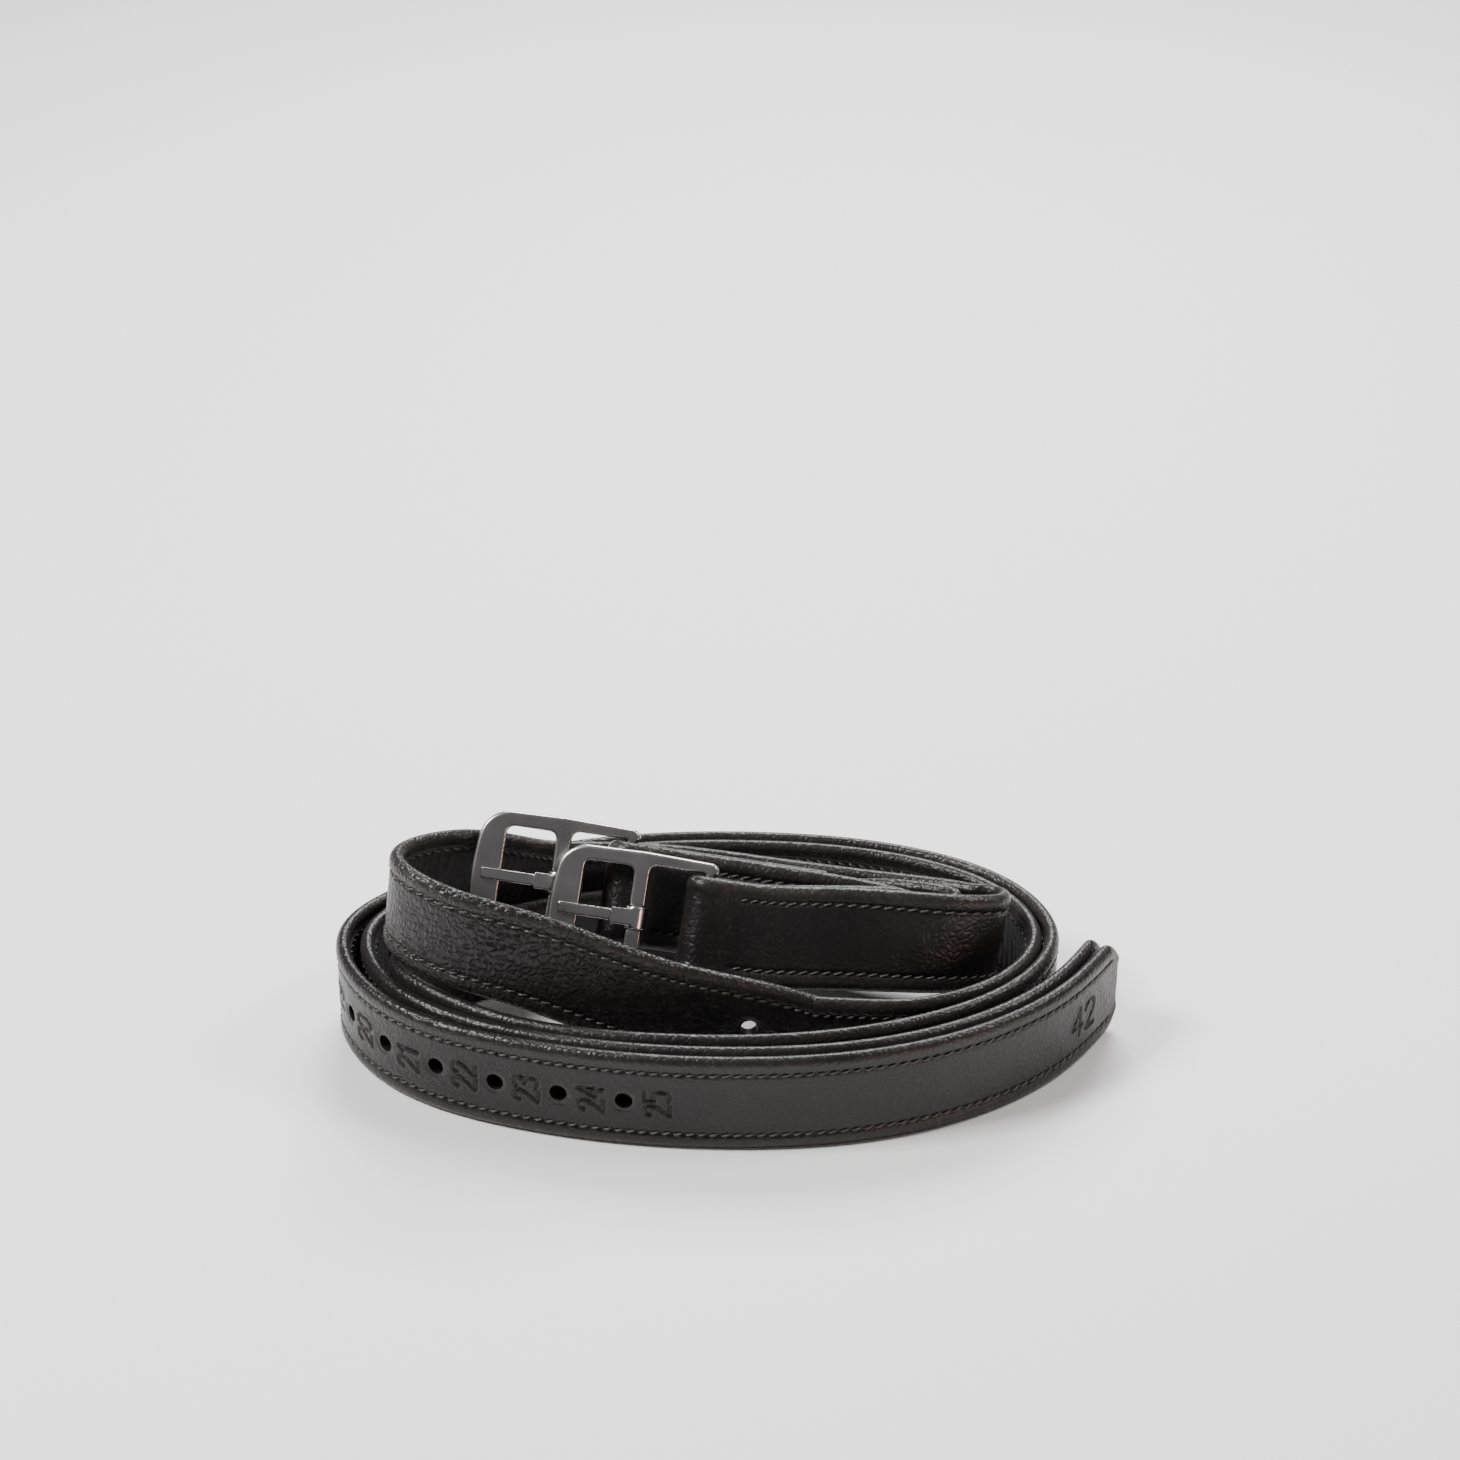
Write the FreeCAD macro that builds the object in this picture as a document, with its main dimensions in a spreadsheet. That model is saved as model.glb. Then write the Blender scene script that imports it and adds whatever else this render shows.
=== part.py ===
"""A pair of nappa-wrapped stirrup leathers, coiled together on edge, with their steel buckles.

Frame: millimetres, +Z up, +X to the right, +Y to the back. The coil stands on Z = 0, and the origin is
the middle of its footprint.
Each leather is a flat strap: a cover wrapped round a core and a tape that doesn't stretch, a lining
strip on the inner side, and two rows of lock stitching through them. One end is folded round the buckle's end bar, turned back and
stitched behind. The straps run anticlockwise (seen from above) from the buckles to the tips.
"""
import FreeCAD
import Part
import Sketcher

import math
import os

from FreeCAD import Matrix, Placement, Rotation, Vector

SIZES = {
    # strap section
    "strap_width": 25.0,
    "cover_face": 1.65,        # outer face, from the strap's middle surface
    "cover_back": 1.25,        # turned-in margin's face, on the inner side
    "edge_chamfer": 0.8,
    "core_half_thickness": 0.6,
    "core_inset": 1.2,
    "lining_inset": 3.4,
    "lining_face": 1.7,
    "slot_inset": 5.2,         # where the turned-in margins end
    "thread_inset": 4.25,      # stitch row, from the strap's edge
    "thread_width": 0.8,
    "thread_rise": 0.18,
    "row_overrun": 4.0,        # the stitch rows stop this far short of the tip
    "tip_length": 6.0,
    "tip_narrowing": 0.45,
    # tongue holes
    "hole_radius": 2.1,
    "hole_pitch": 15.5,
    "hole_count": 25,
    "first_hole_from_tip": 138.5,
    # fold round the end bar
    "lap_length": 48.0,
    "lap_spacing": 4.05,       # middle surface of the lap, behind that of the run
    "fold_radius": 3.6,
    "fold_ease": 10.0,         # length over which the fold closes to the lap
    # buckle frame
    "frame_thickness": 3.0,
    "frame_back_width": 32.4,
    "frame_front_width": 31.4,
    "frame_reach": 35.6,       # end bar to the outer bar's corners
    "outer_bow": 60.0,         # radius of the bowed outer bar
    "bow_depth": 1.4,
    "frame_tail": 2.3,
    "middle_bar_at": 16.4,
    "middle_bar_width": 3.8,
    "outer_bar_width": 6.6,
    "window_height": 24.6,
    "slot_height": 26.2,
    "end_bar_radius": 1.6,
    "journal_radius": 1.4,
    "journal_gap": 5.9,
    "corner_large": 7.5,
    "corner_small": 2.4,
    "edge_round": 0.7,
    # buckle tongue
    "collar_radius": 2.7,
    "collar_width": 5.4,
    "bore_radius": 1.45,
    "block_length": 5.8,
    "block_width": 4.0,
    "block_top": 3.5,
    "blade_length": 19.0,
    "blade_width": 2.8,
    "blade_top": 3.2,
    "tip_top": 2.7,
    "blade_underside": 1.6,
    "blade_round": 0.6,
}

# Middle surface of each strap at its lower edge: x, y, height of the lower edge, lean of the upper edge
# towards the middle of the coil in degrees. The near strap's buckle lies in front.
NEAR_START = [
    (-8.7, 43.2, 19.8, 30.0),
    (7.0, 41.4, 18.5, 29.0),
    (24.0, 41.0, 18.2, 26.0),
    (42.0, 42.2, 16.8, 18.0),
    (56.0, 46.5, 14.2, 6.0),
    (63.0, 55.0, 10.5, -4.0),
    (57.0, 63.5, 8.0, -6.0),
    (38.0, 71.8, 6.5, -5.0),
    (6.0, 81.0, 6.5, -2.0),
    (-25.0, 83.3, 9.4, 1.0),
    (-53.0, 77.4, 13.4, 1.0),
    (-73.3, 64.6, 22.9, 4.0),
    (-82.0, 49.5, 26.8, 7.0),
    (-71.0, 34.0, 26.6, 8.0),
    (-50.0, 27.7, 22.2, 6.0),
    (-23.0, 26.5, 11.5, 4.0),
    (4.0, 27.5, 4.0, 1.0),
]
FAR_START = [
    (-27.7, 55.4, 22.2, 30.0),
    (-5.0, 54.3, 18.9, 29.0),
    (16.0, 51.6, 16.8, 26.0),
    (35.0, 51.2, 13.2, 18.0),
    (47.5, 52.6, 11.0, 6.0),
    (53.5, 56.8, 10.5, -3.0),
    (47.0, 61.3, 9.8, -5.0),
    (30.0, 68.3, 6.0, -4.0),
    (3.0, 76.0, 1.5, -2.0),
    (-28.0, 76.4, 0.0, 0.0),
    (-54.0, 68.6, 0.0, 0.0),
    (-73.5, 56.8, 0.0, 0.0),
    (-80.5, 46.5, 0.0, 0.0),
    (-73.5, 35.0, 0.0, 0.0),
    (-50.0, 19.4, 0.0, 0.0),
    (-15.0, 12.2, 0.0, 0.0),
]
# The last turn and a half, where both straps stand on the ground side by side: x and y of the outer
# (far) strap, and the distance in to the near one.
PACK = [
    (22.0, 13.6, 15.0),
    (48.0, 21.6, 6.5),
    (68.0, 35.5, 4.2),
    (78.3, 56.0, 4.2),
    (71.0, 79.0, 4.2),
    (48.0, 95.8, 4.2),
    (8.0, 104.2, 4.2),
    (-38.0, 100.3, 4.2),
    (-72.0, 85.0, 4.6),
    (-93.5, 61.0, 6.0),
    (-85.0, 32.5, 5.2),
    (-50.0, 10.6, 4.1),
    (0.0, 2.6, 4.1),
    (47.0, 10.4, 4.1),
    (80.0, 34.0, 4.1),
    (93.6, 55.0, 4.6),
]
FINE_STEPS = 12                # spline samples between two stations
SECTION_STEP = 6.0             # distance between a strap's sections
FOLD_SECTIONS = 8              # sections round the half turn of the fold
FACE_SECTIONS = 16             # sections that one face of a strap runs over

doc = FreeCAD.newDocument("stirrup_leathers")
sheet = doc.addObject("Spreadsheet::Sheet", "Sizes")
for row, (name, value) in enumerate(SIZES.items(), start=1):
    sheet.set(f"A{row}", name)
    sheet.set(f"B{row}", str(value))
    sheet.setAlias(f"B{row}", name)
doc.recompute()


def size(name):
    return float(getattr(sheet, name))


# ---------------------------------------------------------------- strap routes

def outward(points, index):
    """The level unit vector that points out of the coil at one point of a route."""
    before = points[max(index - 1, 0)]
    after = points[min(index + 1, len(points) - 1)]
    along_x = after[0] - before[0]
    along_y = after[1] - before[1]
    length = math.hypot(along_x, along_y)
    return along_y / length, -along_x / length


def far_route():
    return FAR_START + [(x, y, 0.0, 0.0) for x, y, _ in PACK]


def near_route():
    pack = []
    for index, (x, y, gap) in enumerate(PACK):
        out_x, out_y = outward(PACK, index)
        pack.append((x - gap * out_x, y - gap * out_y, 0.0, 0.0))
    return NEAR_START + pack


def spline_samples(stations):
    """Points of the natural cubic spline through the stations, spaced by chord length."""
    spans = [math.dist(a[:3], b[:3]) for a, b in zip(stations, stations[1:])]
    last = len(stations) - 1
    width = len(stations[0])
    bend = [[0.0] * width for _ in stations]
    diagonal = [1.0] * (last + 1)
    for i in range(1, last):
        carry = spans[i - 1] / diagonal[i - 1] if i > 1 else 0.0
        diagonal[i] = 2.0 * (spans[i - 1] + spans[i]) - (carry * spans[i - 1] if i > 1 else 0.0)
        for k in range(width):
            rise = (stations[i + 1][k] - stations[i][k]) / spans[i]
            fall = (stations[i][k] - stations[i - 1][k]) / spans[i - 1]
            bend[i][k] = 6.0 * (rise - fall) - carry * bend[i - 1][k]
    for i in range(last - 1, 0, -1):
        for k in range(width):
            bend[i][k] = (bend[i][k] - spans[i] * bend[i + 1][k]) / diagonal[i]
    samples = []
    for i, span in enumerate(spans):
        for step in range(FINE_STEPS):
            b = step / FINE_STEPS
            a = 1.0 - b
            samples.append([
                a * stations[i][k] + b * stations[i + 1][k]
                + ((a**3 - a) * bend[i][k] + (b**3 - b) * bend[i + 1][k]) * span**2 / 6.0
                for k in range(width)])
    samples.append(list(stations[-1]))
    for sample in samples:
        sample[2] = max(sample[2], 0.0)    # nothing goes below the ground
    return samples


def even_samples(samples, step):
    """The same line at an even spacing, with the distance from its start."""
    total = sum(math.dist(a[:3], b[:3]) for a, b in zip(samples, samples[1:]))
    count = round(total / step)
    result = [(0.0, samples[0])]
    travelled = 0.0
    wanted = total / count
    for a, b in zip(samples, samples[1:]):
        span = math.dist(a[:3], b[:3])
        while len(result) < count and travelled + span >= wanted:
            share = (wanted - travelled) / span
            result.append((wanted, [p + share * (q - p) for p, q in zip(a, b)]))
            wanted = total * len(result) / count
        travelled += span
    result.append((total, samples[-1]))
    return result


class Station:
    """A place on a strap: middle surface at the lower edge, and the directions along, up and out."""

    def __init__(self, place, along, up, out, distance):
        self.place = place
        self.along = along
        self.up = up
        self.out = out
        self.distance = distance

    def point(self, up, out):
        return self.place + self.up * up + self.out * out


def run_stations(route):
    """The strap's run from the buckle to the tip."""
    line = even_samples(spline_samples(route), SECTION_STEP)
    stations = []
    for index, (distance, sample) in enumerate(line):
        before = line[max(index - 1, 0)][1]
        after = line[min(index + 1, len(line) - 1)][1]
        along = Vector(*[q - p for p, q in zip(before[:3], after[:3])]).normalize()
        level_out = Vector(along.y, -along.x, 0.0).normalize()
        lean = math.radians(sample[3])
        up = Vector(0, 0, math.cos(lean)) - level_out * math.sin(lean)
        up = (up - along * up.dot(along)).normalize()
        stations.append(Station(Vector(*sample[:3]), along, up, along.cross(up), distance))
    return stations


def bulge(distance):
    """How far the run and the lap stand off their common middle, near the end bar."""
    flat = size("lap_spacing") / 2.0
    if distance >= size("fold_ease"):
        return flat
    share = 0.5 + 0.5 * math.cos(math.pi * distance / size("fold_ease"))
    return flat + (size("fold_radius") - flat) * share


def folded_stations(run):
    """The whole strap: the lap from its cut end to the end bar, the half turn, then the run."""
    half_gap = size("lap_spacing") / 2.0
    lap = []
    opened = []
    for station in run:
        middle = station.place - station.out * half_gap
        stand_off = bulge(station.distance)
        opened.append(Station(middle + station.out * stand_off, station.along, station.up, station.out,
                              station.distance))
        if station.distance <= size("lap_length"):
            lap.append(Station(middle - station.out * stand_off, -station.along, station.up,
                               -station.out, -station.distance))
    start = run[0]
    centre = start.place - start.out * half_gap
    turn = []
    for index in range(1, FOLD_SECTIONS):
        angle = math.pi * index / FOLD_SECTIONS
        out = start.out * -math.cos(angle) - start.along * math.sin(angle)
        along = start.out * math.sin(angle) - start.along * math.cos(angle)
        turn.append(Station(centre + out * size("fold_radius"), along, start.up, out, 0.0))
    return lap[::-1] + turn + opened


# ---------------------------------------------------------------- strap pieces

def narrowing(distance, total):
    """Share of the full width that is left near the tip, whose corners are clipped."""
    left = total - distance
    if left >= size("tip_length"):
        return 1.0
    return 1.0 - size("tip_narrowing") * (1.0 - left / size("tip_length")) ** 2


def strap_solid(stations, profile, total):
    """A closed solid with one profile, points (from the lower edge, out), along the strap."""
    middle = size("strap_width") / 2.0
    sections = []
    for station in stations:
        share = narrowing(station.distance, total)
        sections.append([station.point(middle + (up - middle) * share, out) for up, out in profile])
    travelled = [0.0]
    for before, after in zip(stations, stations[1:]):
        travelled.append(travelled[-1] + before.place.distanceToPoint(after.place))
    rails = []
    for corner in zip(*sections):
        curve = Part.BSplineCurve()
        curve.interpolate(Points=list(corner), Parameters=travelled)
        rails.append(curve)
    ends = travelled[:-FACE_SECTIONS // 2:FACE_SECTIONS] + travelled[-1:]
    faces = []
    for low, high in zip(ends, ends[1:]):
        edges = [rail.toShape(low, high) for rail in rails]
        faces += [Part.makeRuledSurface(a, b, 1) for a, b in zip(edges, edges[1:] + edges[:1])]
    for section in (sections[0], sections[-1]):
        faces.append(Part.Face(Part.makePolygon(section + section[:1])))
    shell = Part.makeShell(faces)
    shell.sewShape()
    solid = Part.makeSolid(shell)
    if solid.Volume < 0.0:
        solid.reverse()
    return solid


def cover_profile():
    width = size("strap_width")
    face = size("cover_face")
    back = -size("cover_back")
    cut = size("edge_chamfer")
    inset = size("core_inset")
    half = size("core_half_thickness")
    slot = size("slot_inset")
    return [(slot, back), (cut, back), (0.0, back + cut), (0.0, face - cut), (cut, face),
            (width - cut, face), (width, face - cut), (width, back + cut), (width - cut, back),
            (width - slot, back), (width - slot, -half), (width - inset, -half),
            (width - inset, half), (inset, half), (inset, -half), (slot, -half)]


def band_profile(low, high, inner, outer):
    return [(low, inner), (high, inner), (high, outer), (low, outer)]


def thread_profile(upper, front):
    inset = size("thread_inset")
    middle = size("strap_width") - inset if upper else inset
    half = size("thread_width") / 2.0
    rise = size("thread_rise")
    if front:
        return band_profile(middle - half, middle + half, size("cover_face"), size("cover_face") + rise)
    return band_profile(middle - half, middle + half, -size("lining_face") - rise, -size("lining_face"))


def hole_cutters(run, total):
    """The punched tongue holes, counted back from the one nearest the tip."""
    cutters = []
    length = 4.0 * size("cover_face")
    for number in range(int(size("hole_count"))):
        distance = total - size("first_hole_from_tip") - number * size("hole_pitch")
        after = next(i for i, station in enumerate(run) if station.distance >= distance)
        a, b = run[after - 1], run[after]
        share = (distance - a.distance) / (b.distance - a.distance)
        place = a.place + (b.place - a.place) * share
        up = (a.up + b.up).normalize()
        out = (a.out * (1.0 - share) + b.out * share).normalize()
        base = place + up * (size("strap_width") / 2.0) - out * (length / 2.0)
        cutters.append(Part.makeCylinder(size("hole_radius"), length, base, out))
    return Part.makeCompound(cutters)


def add_shape(name, shape):
    part = doc.addObject("Part::Feature", name)
    part.Label = name
    part.Shape = shape
    return part


def add_leather(side, route):
    """The sewn pieces of one leather. Returns the run's first station, where the buckle hangs."""
    run = run_stations(route)
    total = run[-1].distance
    whole = folded_stations(run)
    opened = whole[-len(run):]
    holes = hole_cutters(opened, total)
    width = size("strap_width")
    half = size("core_half_thickness")
    bands = {
        "core": (size("core_inset"), -half, half),
        "reinforcing_tape": (size("slot_inset"), -size("cover_back"), -half),
        "lining": (size("lining_inset"), -size("lining_face"), -size("cover_back")),
    }
    add_shape(f"{side}_cover", strap_solid(whole, cover_profile(), total).cut(holes))
    for name, (inset, inner, outer) in bands.items():
        band = band_profile(inset, width - inset, inner, outer)
        add_shape(f"{side}_{name}", strap_solid(whole[1:-1], band, total).cut(holes))
    sewn = [s for s in whole[1:] if s.distance <= total - size("row_overrun")]
    for row, upper in (("upper", True), ("lower", False)):
        add_shape(f"{side}_needle_thread_{row}", strap_solid(sewn, thread_profile(upper, True), total))
        add_shape(f"{side}_bobbin_thread_{row}", strap_solid(sewn, thread_profile(upper, False), total))
    print(side, "strap:", round(total, 1), "mm from end bar to tip,", len(whole), "sections")
    return run[0]


# ---------------------------------------------------------------- buckles

def new_body(name):
    body = doc.addObject("PartDesign::Body", name)
    body.Label = name
    return body


def new_sketch(body, name, plane):
    sketch = body.newObject("Sketcher::SketchObject", name)
    origin = next(f for f in body.Origin.OriginFeatures if f.Role == plane)
    sketch.AttachmentSupport = [(origin, "")]
    sketch.MapMode = "FlatFace"
    return sketch


def evaluated(holder, expression):
    """The number that an expression of the sheet's names gives."""
    value = holder.evalExpression(expression)
    return float(getattr(value, "Value", value))


def closed_outline(sketch, corners, bow=None):
    """Lines through the corners, each given by two expressions; bow makes the first side an arc."""
    places = [Vector(evaluated(sketch, x), evaluated(sketch, y), 0) for x, y in corners]
    count = len(places)
    for index, start in enumerate(places):
        end = places[(index + 1) % count]
        if index == 0 and bow:
            half = start.distanceToPoint(end) / 2.0
            radius = size(bow)
            sagitta = radius - math.sqrt(radius**2 - half**2)
            middle = (start + end) * 0.5 - Vector(sagitta, 0, 0)
            sketch.addGeometry(Part.Arc(start, middle, end), False)
        else:
            sketch.addGeometry(Part.LineSegment(start, end), False)
    # an arc runs anticlockwise, so its two ends may be the other way round
    first_start, first_end = 1, 2
    if bow and sketch.Geometry[0].StartPoint.distanceToPoint(places[0]) > 1e-6:
        first_start, first_end = 2, 1
    for index in range(count):
        here = first_end if index == 0 else 2
        following = (index + 1) % count
        there = first_start if following == 0 else 1
        sketch.addConstraint(Sketcher.Constraint("Coincident", index, here, following, there))
    for index, (x, y) in enumerate(corners):
        point = first_start if index == 0 else 1
        for kind, expression in (("DistanceX", x), ("DistanceY", y)):
            value = evaluated(sketch, expression)
            number = sketch.addConstraint(Sketcher.Constraint(kind, -1, 1, index, point, value))
            sketch.setExpression(f"Constraints[{number}]", expression)
    if bow:
        number = sketch.addConstraint(Sketcher.Constraint("Radius", 0, size(bow)))
        sketch.setExpression(f"Constraints[{number}]", f"Sizes.{bow}")


def circle(sketch, x, radius):
    """A circle centred on the sketch's horizontal axis."""
    centre = Vector(evaluated(sketch, x), 0, 0)
    sketch.addGeometry(Part.Circle(centre, Vector(0, 0, 1), evaluated(sketch, radius)), False)
    for kind, value, expression in (("DistanceX", centre.x, x), ("DistanceY", 0.0, "0")):
        number = sketch.addConstraint(Sketcher.Constraint(kind, -1, 1, 0, 3, value))
        sketch.setExpression(f"Constraints[{number}]", expression)
    number = sketch.addConstraint(Sketcher.Constraint("Radius", 0, evaluated(sketch, radius)))
    sketch.setExpression(f"Constraints[{number}]", radius)


def through(body, kind, name, sketch, length):
    """A pad or pocket of the sketch, to both sides of its plane."""
    feature = body.newObject(f"PartDesign::{kind}", name)
    feature.Profile = sketch
    feature.Midplane = True
    feature.setExpression("Length", length)
    doc.recompute()
    return feature


def rounded(body, name, base, radius, wanted):
    """Fillets on the edges of the base that the test picks."""
    edges = [f"Edge{i}" for i, edge in enumerate(base.Shape.Edges, start=1) if wanted(edge)]
    feature = body.newObject("PartDesign::Fillet", name)
    feature.Base = (base, edges)
    feature.setExpression("Radius", radius)
    doc.recompute()
    return feature


def upright(edge):
    """Whether an edge runs square to the buckle's plane."""
    ends = [vertex.Point for vertex in edge.Vertexes]
    if len(ends) != 2:
        return False
    run = ends[1] - ends[0]
    return abs(run.z) > 0.5 and math.hypot(run.x, run.y) < 1e-6


def buckle_frame(name):
    """The flat frame: x along the strap from the end bar, y across the strap, z to its front."""
    body = new_body(name)
    outline = new_sketch(body, name + "_outline", "XY_Plane")
    closed_outline(outline, [
        ("-Sizes.frame_reach", "Sizes.frame_front_width / 2"),
        ("-Sizes.frame_reach", "-Sizes.frame_front_width / 2"),
        ("-Sizes.middle_bar_at", "-Sizes.frame_back_width / 2"),
        ("Sizes.frame_tail", "-Sizes.frame_front_width / 2"),
        ("Sizes.frame_tail", "Sizes.frame_front_width / 2"),
        ("-Sizes.middle_bar_at", "Sizes.frame_back_width / 2"),
    ], bow="outer_bow")
    plate = through(body, "Pad", name + "_plate", outline, "Sizes.frame_thickness")

    def at_corner(edge, x_low, x_high):
        return upright(edge) and x_low < edge.Vertexes[0].Point.x < x_high

    reach = size("frame_reach")
    plate = rounded(body, name + "_outer_corners", plate, "Sizes.corner_large",
                    lambda edge: at_corner(edge, -reach - 0.1, -reach + 0.1))
    plate = rounded(body, name + "_tail_corners", plate, "Sizes.corner_small",
                    lambda edge: at_corner(edge, 0.0, 5.0))
    plate = rounded(body, name + "_soft_edges", plate, "Sizes.edge_round",
                    lambda edge: not upright(edge) and abs(edge.CenterOfMass.z) > 1.0)

    window = new_sketch(body, name + "_window_outline", "XY_Plane")
    near_side = "-Sizes.middle_bar_at - Sizes.middle_bar_width / 2"
    far_side = "-Sizes.frame_reach - Sizes.bow_depth + Sizes.outer_bar_width"
    closed_outline(window, [(far_side, "Sizes.window_height / 2"), (far_side, "-Sizes.window_height / 2"),
                            (near_side, "-Sizes.window_height / 2"), (near_side, "Sizes.window_height / 2")])
    cut = through(body, "Pocket", name + "_window", window, "Sizes.frame_thickness * 2")
    slot = new_sketch(body, name + "_slot_outline", "XY_Plane")
    slot_side = "-Sizes.middle_bar_at + Sizes.middle_bar_width / 2"
    open_side = "Sizes.frame_tail + 1"
    closed_outline(slot, [(slot_side, "Sizes.slot_height / 2"), (slot_side, "-Sizes.slot_height / 2"),
                          (open_side, "-Sizes.slot_height / 2"), (open_side, "Sizes.slot_height / 2")])
    cut = through(body, "Pocket", name + "_slot", slot, "Sizes.frame_thickness * 2")
    gap = new_sketch(body, name + "_journal_gap_outline", "XY_Plane")
    closed_outline(gap, [("-Sizes.middle_bar_at - Sizes.middle_bar_width", "Sizes.journal_gap / 2"),
                         ("-Sizes.middle_bar_at - Sizes.middle_bar_width", "-Sizes.journal_gap / 2"),
                         ("-Sizes.middle_bar_at + Sizes.middle_bar_width", "-Sizes.journal_gap / 2"),
                         ("-Sizes.middle_bar_at + Sizes.middle_bar_width", "Sizes.journal_gap / 2")])
    cut = through(body, "Pocket", name + "_journal_gap", gap, "Sizes.frame_thickness * 2")
    inside = rounded(body, name + "_window_corners", cut, "Sizes.corner_small * 0.75",
                     lambda edge: upright(edge) and abs(edge.Vertexes[0].Point.y) > 10.0
                     and edge.Vertexes[0].Point.x < -5.0 and abs(edge.Vertexes[0].Point.y) < 14.0)
    journal = new_sketch(body, name + "_journal_circle", "XZ_Plane")
    circle(journal, "-Sizes.middle_bar_at", "Sizes.journal_radius")
    through(body, "Pad", name + "_journal", journal, "Sizes.journal_gap + 1")
    bar = new_sketch(body, name + "_end_bar_circle", "XZ_Plane")
    circle(bar, "0", "Sizes.end_bar_radius")
    through(body, "Pad", name + "_end_bar", bar, "Sizes.slot_height + 1")
    return body


def buckle_tongue(name):
    """The tongue: its collar's axis is y, and it points to -x."""
    body = new_body(name)
    collar = new_sketch(body, name + "_collar_circle", "XZ_Plane")
    circle(collar, "0", "Sizes.collar_radius")
    through(body, "Pad", name + "_collar", collar, "Sizes.collar_width")
    block = new_sketch(body, name + "_block_outline", "XZ_Plane")
    closed_outline(block, [("0", "Sizes.collar_radius - 0.1"), ("-Sizes.block_length", "Sizes.block_top"),
                           ("-Sizes.block_length", "Sizes.blade_underside"), ("0", "0")])
    through(body, "Pad", name + "_block", block, "Sizes.block_width")
    blade = new_sketch(body, name + "_blade_outline", "XZ_Plane")
    closed_outline(blade, [("-Sizes.block_length + 0.5", "Sizes.blade_top"),
                           ("-Sizes.blade_length", "Sizes.tip_top"),
                           ("-Sizes.blade_length", "Sizes.blade_underside"),
                           ("-Sizes.block_length + 0.5", "Sizes.blade_underside")])
    solid = through(body, "Pad", name + "_blade", blade, "Sizes.blade_width")
    tip = size("blade_length")
    solid = rounded(body, name + "_soft_tip", solid, "Sizes.blade_round * 0.8",
                    lambda edge: edge.CenterOfMass.x < -tip + 0.05)
    bore = new_sketch(body, name + "_bore_circle", "XZ_Plane")
    circle(bore, "0", "Sizes.bore_radius")
    through(body, "Pocket", name + "_bore", bore, "Sizes.collar_width * 2")
    return body


def hang_buckle(side, start):
    """Place one frame and tongue at the fold of a strap."""
    centre = start.point(size("strap_width") / 2.0, -size("lap_spacing") / 2.0)
    turn = Rotation(Matrix(start.along.x, start.up.x, start.out.x, 0,
                           start.along.y, start.up.y, start.out.y, 0,
                           start.along.z, start.up.z, start.out.z, 0,
                           0, 0, 0, 1))
    frame = buckle_frame(f"{side}_buckle_frame")
    frame.Placement = Placement(centre, turn)
    pivot = centre - start.along * size("middle_bar_at")
    tongue = buckle_tongue(f"{side}_buckle_tongue")
    tongue.Placement = Placement(pivot, turn)
    print(side, "end bar", [round(v, 2) for v in centre], "pivot", [round(v, 2) for v in pivot],
          "axis", [round(v, 5) for v in start.up])
    return [frame, tongue]


parts = []
for side, route in (("near", near_route()), ("far", far_route())):
    first = add_leather(side, route)
    parts += hang_buckle(side, first)
doc.recompute()
parts += [obj for obj in doc.Objects if obj.TypeId == "Part::Feature"]

for obj in doc.Objects:
    if {"Invalid", "Error"} & set(obj.State):
        raise RuntimeError(f"{obj.Name} failed: {obj.State}")
for part in parts:
    if part.Shape.isNull() or not part.Shape.isValid():
        raise RuntimeError(f"{part.Label} has no valid shape")

# the origin goes to the middle of the footprint
box = FreeCAD.BoundBox()
for part in parts:
    box.add(part.Shape.optimalBoundingBox(False, False))
origin = Vector(box.Center.x, box.Center.y, 0.0)
for part in parts:
    part.Placement = Placement(-origin, Rotation()) * part.Placement
doc.recompute()
print("origin", [round(v, 3) for v in origin], "size", [round(v, 2) for v in (box.XLength, box.YLength,
                                                                             box.ZLength)])

os.makedirs("parts", exist_ok=True)
for part in parts:
    part.Shape.exportStep(f"parts/{part.Label}.step")
    print(part.Label, len(part.Shape.Solids), "solid", round(part.Shape.Volume, 1), "mm3")
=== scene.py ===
"""A pair of padded stirrup leathers, coiled on edge, with their steel buckles.

Lengths in the tables and section sizes are millimetres and become metres where a mesh is made. A place on
a strap is given by its distance along the strap, by u, the distance up from its lower edge, and by h, the
distance out from its middle surface.
"""
import math

import bpy
import numpy as np
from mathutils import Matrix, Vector


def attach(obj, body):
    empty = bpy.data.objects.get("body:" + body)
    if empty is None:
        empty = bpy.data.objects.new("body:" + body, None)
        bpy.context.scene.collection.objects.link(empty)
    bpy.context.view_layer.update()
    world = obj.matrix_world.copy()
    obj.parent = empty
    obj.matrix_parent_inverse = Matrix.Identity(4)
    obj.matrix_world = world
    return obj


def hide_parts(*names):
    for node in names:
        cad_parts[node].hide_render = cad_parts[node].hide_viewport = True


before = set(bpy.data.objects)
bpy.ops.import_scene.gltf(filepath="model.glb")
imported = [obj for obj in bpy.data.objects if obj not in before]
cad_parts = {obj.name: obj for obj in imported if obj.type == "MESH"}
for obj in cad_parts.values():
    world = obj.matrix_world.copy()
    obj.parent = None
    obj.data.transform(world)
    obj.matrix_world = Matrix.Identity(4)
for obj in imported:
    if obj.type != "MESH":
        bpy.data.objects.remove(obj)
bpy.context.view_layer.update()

MM = 0.001

# ---------------------------------------------------------------- camera

CAMERA_PLACE = (0.4, -671.6, 448.8)
CAMERA_TILT = 61.4          # degrees from looking straight down
CAMERA_LENS = 80.48

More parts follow.
